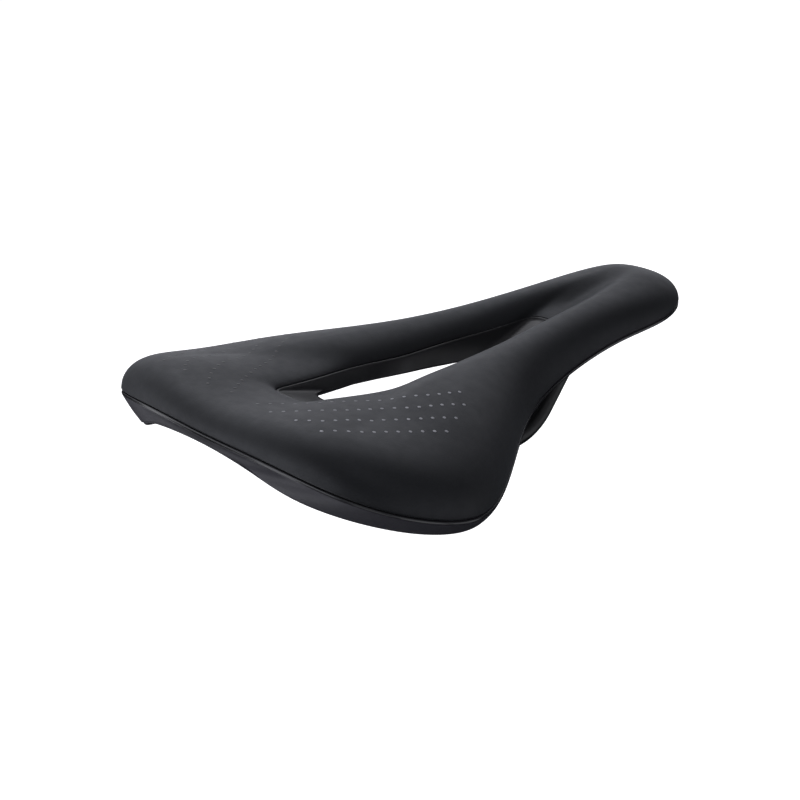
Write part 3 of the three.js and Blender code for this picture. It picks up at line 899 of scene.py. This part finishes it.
def make_screws():
    """Every screw, by the CAD node that it stands for."""
    made = {}
    nose_seat = NOSE_BOTTOM - SEAT_GAP
    for place, y in NOSE_SCREWS.items():
        name = f"nose_bolt_{place}"
        made[f"nose_screw_{place}"] = make_screw(name, 0, y, nose_seat, NOSE_SCREW_TIP)
    ear_seat = SOCKET_TOP - EARS_THICKNESS - SEAT_GAP
    for hand, side in HANDS.items():
        for place, (x, y) in zip(("inner", "outer"), ear_screws(side)):
            name = f"socket_bolt_{hand}_{place}"
            node = f"socket_screw_{hand}_{place}"
            made[node] = make_screw(name, x, y, ear_seat, EAR_SCREW_TIP)
    return made


sockets = {hand: make_socket(side, hand) for hand, side in HANDS.items()}
bushes = {hand: make_bush(side, hand) for hand, side in HANDS.items()}
screws = make_screws()

# ---- level pads under the shell, for the bracket and the sockets, in mm ------------------

PAD_ROOF = 45
ROOF_TOP = 80
ROOF_STEPS = 8


def make_shell_pads():
    """Blocks that end flat below, cut off above inside the shell's plate."""
    left_ears = (-EARS[0], *EARS[1:])
    pads = []
    for block, top in ((NOSE_BLOCK, NOSE_TOP), (EARS, SOCKET_TOP), (left_ears, SOCKET_TOP)):
        low = top + SEAT_GAP
        pads.append(rounded_block("pad", block, low, PAD_ROOF, EDGE_FILLET, EDGE_FILLET))
    buried = -GAP - PLATE_THICKNESS / 2
    under = [plate(share, buried) for share in np.linspace(0, 1, ROOF_STEPS + 1)]
    over = [under[-1].copy(), under[0].copy()]
    for curve in over:
        curve[:, 2] = ROOF_TOP * MM
    for pad_block in pads:
        combine(pad_block, [loft("roof", under + over)], "DIFFERENCE")
    return pads


combine(shell, make_shell_pads(), "UNION")
nose_holes = holes(nose_places, high=NOSE_SCREW_TIP + SEAT_GAP / 2)
combine(shell, nose_holes, "DIFFERENCE")
ear_holes = holes(ear_screws(1) + ear_screws(-1), high=EAR_SCREW_TIP + SEAT_GAP / 2)
combine(shell, ear_holes, "DIFFERENCE")

# ---- printed dots on the wings -----------------------------------------------------------

# Each row: how many dots, and points in plan that it runs through, in mm.
DOT_ROWS = [
    (18, [(7, -80), (14.5, -69.5), (20.5, -59), (26, -48), (33, -38), (38.5, -28.5),
          (41, -18.5)]),
    (17, [(17, -82.5), (25, -74), (31, -63.5), (35, -50.5), (42, -39.5), (47.5, -23)]),
    (14, [(30, -82.5), (36.5, -76.5), (40, -65), (43, -56), (48, -44.5), (52.5, -32)]),
    (11, [(42.5, -82.5), (48, -71), (51.5, -58), (57, -41)]),
]
ROW_STEPS = 40
DOT_RADIUS = 0.62 * MM
DOT_SIDES = 12
# A dot's rings: how deep under the cover's surface, and the share of its radius.
DOT_RINGS = [(0.05 * MM, 1.0), (-0.035 * MM, 1.0), (-0.06 * MM, 0.7)]
DOT_RAY_HEIGHT = 0.1


def through(points, count):
    """Evenly spaced points on a smooth curve through the given ones."""
    p = np.array(points, float)
    p = np.vstack([2 * p[0] - p[1], p, 2 * p[-1] - p[-2]])
    dense = []
    for i in range(1, len(p) - 2):
        is_last = i == len(p) - 3
        for t in np.linspace(0, 1, ROW_STEPS, endpoint=is_last):
            a, b, c, d = p[i - 1], p[i], p[i + 1], p[i + 2]
            square = (2 * a - 5 * b + 4 * c - d) * t**2
            cube = (3 * b - a - 3 * c + d) * t**3
            dense.append(0.5 * (2 * b + (c - a) * t + square + cube))
    dense = np.array(dense)
    run = np.concatenate([[0], np.cumsum(np.linalg.norm(np.diff(dense, axis=0), axis=1))])
    at = np.linspace(0, run[-1], count)
    return np.column_stack([np.interp(at, run, dense[:, k]) for k in range(2)])


def dot_points(place, normal):
    """A dot's points, ring by ring, from inside the cover up to its slightly smaller top."""
    across = normal.cross(Vector((0, 1, 0))).normalized()
    along_row = normal.cross(across)
    points = []
    for depth, size in DOT_RINGS:
        for a in turns(DOT_SIDES):
            offset = (across * math.cos(a) + along_row * math.sin(a)) * DOT_RADIUS * size
            points.append(place + offset - normal * depth)
    return points


def dot_faces(start):
    """The faces of the dot whose points begin at start."""
    starts = [start + i * DOT_SIDES for i in range(len(DOT_RINGS))]
    rings = [range(first, first + DOT_SIDES) for first in starts]
    faces = []
    for a, b in zip(rings, rings[1:]):
        for k in range(DOT_SIDES):
            n = (k + 1) % DOT_SIDES
            faces.append((a[k], a[n], b[n], b[k]))
    faces.append(tuple(rings[0])[::-1])
    faces.append(tuple(rings[-1]))
    return faces


def make_dots():
    """The same thin dots on both wings, each laid on the cover below its place in plan."""
    surface = BVHTree.FromObject(cover, bpy.context.evaluated_depsgraph_get())
    down = Vector((0, 0, -1))
    vertices, faces = [], []
    for count, points in DOT_ROWS:
        for x, y in through(points, count) * MM:
            for side in HANDS.values():
                above = Vector((side * x, y, DOT_RAY_HEIGHT))
                place, normal, _, _ = surface.ray_cast(above, down)
                faces += dot_faces(len(vertices))
                vertices += dot_points(place, normal)
    return new_object("cover_dots", vertices, faces)


dots = make_dots()

# ---- every piece, with its CAD node, its slot and its finish -----------------------------

# The shell is dressed where it is made, because it wears two materials.
fixing = fixing_plastic()
steel = screw_steel()
rubber = bush_rubber()
pieces = [
    (cover, "cover", "cover", cover_leather()),
    (dots, None, "cover", ink_with_painted_shade()),
    (pad, "foam_pad", "foam", foam_cells()),
    (shell, "base_shell", "shell", None),
    (liner, "cutout_liner", "liner", liner_plastic()),
    (rail, "rail", "rail", rail_paint()),
    (bracket, "nose_bracket", "fixings", fixing),
    (cap, "nose_cap", "fixings", fixing),
]
for hand in HANDS:
    pieces.append((sockets[hand], f"socket_{hand}", "fixings", fixing))
    pieces.append((bushes[hand], f"bush_{hand}", "rubber", rubber))
for node, screw in screws.items():
    pieces.append((screw, node, "screws", steel))

for piece, node, slot, material in pieces:
    if material:
        dress(piece, material)
    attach(piece, "root")
    if node:
        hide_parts(node)

# ---- floor, light and camera -------------------------------------------------------------

WHITE = (1, 1, 1, 1)
FLOOR_Z = -0.16
FLOOR_HALF = 4.0
FLOOR_GLOW = 1.0

# What the world adds to the lamps, and how bright it looks to the camera.
WORLD_LIGHT = 0.0
WORLD_LOOK = 1.0

LIGHT_CENTRE = (0, 0.02, 0.02)
LIGHT_DISTANCE = 1.6
LIGHT_SIZE = 1.1
LIGHT_COLOUR = (0.97, 0.98, 1.04)
# Each softbox: degrees round from the nose towards the saddle's right, degrees up, watts.
SOFTBOXES = [
    (270, 55, 3.5), (315, 55, 3.5), (90, 55, 0.7),
    (247.5, 22, 2.37), (292.5, 22, 2.8), (337.5, 22, 2.6), (202.5, 22, 0.91), (67.5, 22, 0.86),
    (225, -8, 3.97), (315, -8, 2.56), (90, -8, 2.39), (45, -8, 1.69), (135, -8, 1.27),
    (225, -45, 3.6), (185, 0, 4.2), (125, 60, 1.3),
]

# The camera's angles in degrees: round from the tail to the saddle's right, up, and roll.
CAMERA_ANGLES = (46.534, 23.353, -0.488)
CAMERA_PLACE = (0.37286, -0.36142, 0.24314)
CAMERA_LENS = 67.64
SENSOR_WIDTH = 36


def make_floor():
    """A pale floor that glows to the camera, and neither lights nor darkens the saddle."""
    size = FLOOR_HALF
    corners = [(-size, -size, FLOOR_Z), (size, -size, FLOOR_Z),
               (size, size, FLOOR_Z), (-size, size, FLOOR_Z)]
    floor = new_object("floor", corners, [(0, 1, 2, 3)], smooth=False)
    p = Paint("floor_paper", Specular_IOR_Level=0.1, Emission_Color=WHITE,
              Emission_Strength=FLOOR_GLOW)
    color = p.blend(p.spread(p.noise(3, 2), 0, 1), grey(0.86), grey(0.88))
    dress(floor, p.finish(color, p.spread(p.noise(20), 0.85, 0.95)))
    floor.visible_diffuse = False
    floor.visible_glossy = False
    floor.visible_shadow = False


def make_world():
    """A white backdrop to the camera, which leaves the lighting to the lamps."""
    world = bpy.data.worlds.new("studio")
    world.use_nodes = True
    tree = world.node_tree
    seen = tree.nodes["Background"]
    lit = tree.nodes.new("ShaderNodeBackground")
    for background, strength in ((seen, WORLD_LOOK), (lit, WORLD_LIGHT)):
        background.inputs["Color"].default_value = WHITE
        background.inputs["Strength"].default_value = strength
    path = tree.nodes.new("ShaderNodeLightPath")
    choose = tree.nodes.new("ShaderNodeMixShader")
    tree.links.new(path.outputs["Is Camera Ray"], choose.inputs[0])
    tree.links.new(lit.outputs[0], choose.inputs[1])
    tree.links.new(seen.outputs[0], choose.inputs[2])
    tree.links.new(choose.outputs[0], tree.nodes["World Output"].inputs["Surface"])
    bpy.context.scene.world = world


def make_softbox(round_from_nose, up, power):
    """A soft lamp at one place on a sphere round the saddle, facing it."""
    a, e = math.radians(round_from_nose), math.radians(up)
    direction = Vector((math.cos(e) * math.sin(a), math.cos(e) * math.cos(a), math.sin(e)))
    data = bpy.data.lights.new("softbox", "AREA")
    data.size = LIGHT_SIZE
    data.energy = power
    data.color = LIGHT_COLOUR
    lamp = bpy.data.objects.new("softbox", data)
    bpy.context.scene.collection.objects.link(lamp)
    lamp.location = direction * LIGHT_DISTANCE + Vector(LIGHT_CENTRE)
    lamp.rotation_euler = direction.to_track_quat("Z", "Y").to_euler()
    lamp.visible_camera = False


def make_camera():
    """A camera behind the saddle's right, looking down on it."""
    azimuth, elevation, roll = (math.radians(a) for a in CAMERA_ANGLES)
    data = bpy.data.cameras.new("camera")
    data.sensor_width = SENSOR_WIDTH
    data.lens = CAMERA_LENS
    data.clip_start = 0.01
    camera = bpy.data.objects.new("camera", data)
    bpy.context.scene.collection.objects.link(camera)
    back = Vector((math.sin(azimuth) * math.cos(elevation),
                   -math.cos(azimuth) * math.cos(elevation), math.sin(elevation)))
    level = Vector((math.cos(azimuth), math.sin(azimuth), 0))
    above = back.cross(level)
    right = level * math.cos(roll) + above * math.sin(roll)
    up = above * math.cos(roll) - level * math.sin(roll)
    axes = Matrix((right, up, back)).transposed().to_4x4()
    camera.matrix_world = Matrix.Translation(CAMERA_PLACE) @ axes
    bpy.context.scene.camera = camera


make_floor()
make_world()
for softbox in SOFTBOXES:
    make_softbox(*softbox)
make_camera()
bpy.context.scene.view_settings.view_transform = "Standard"
bpy.context.scene.view_settings.look = "None"
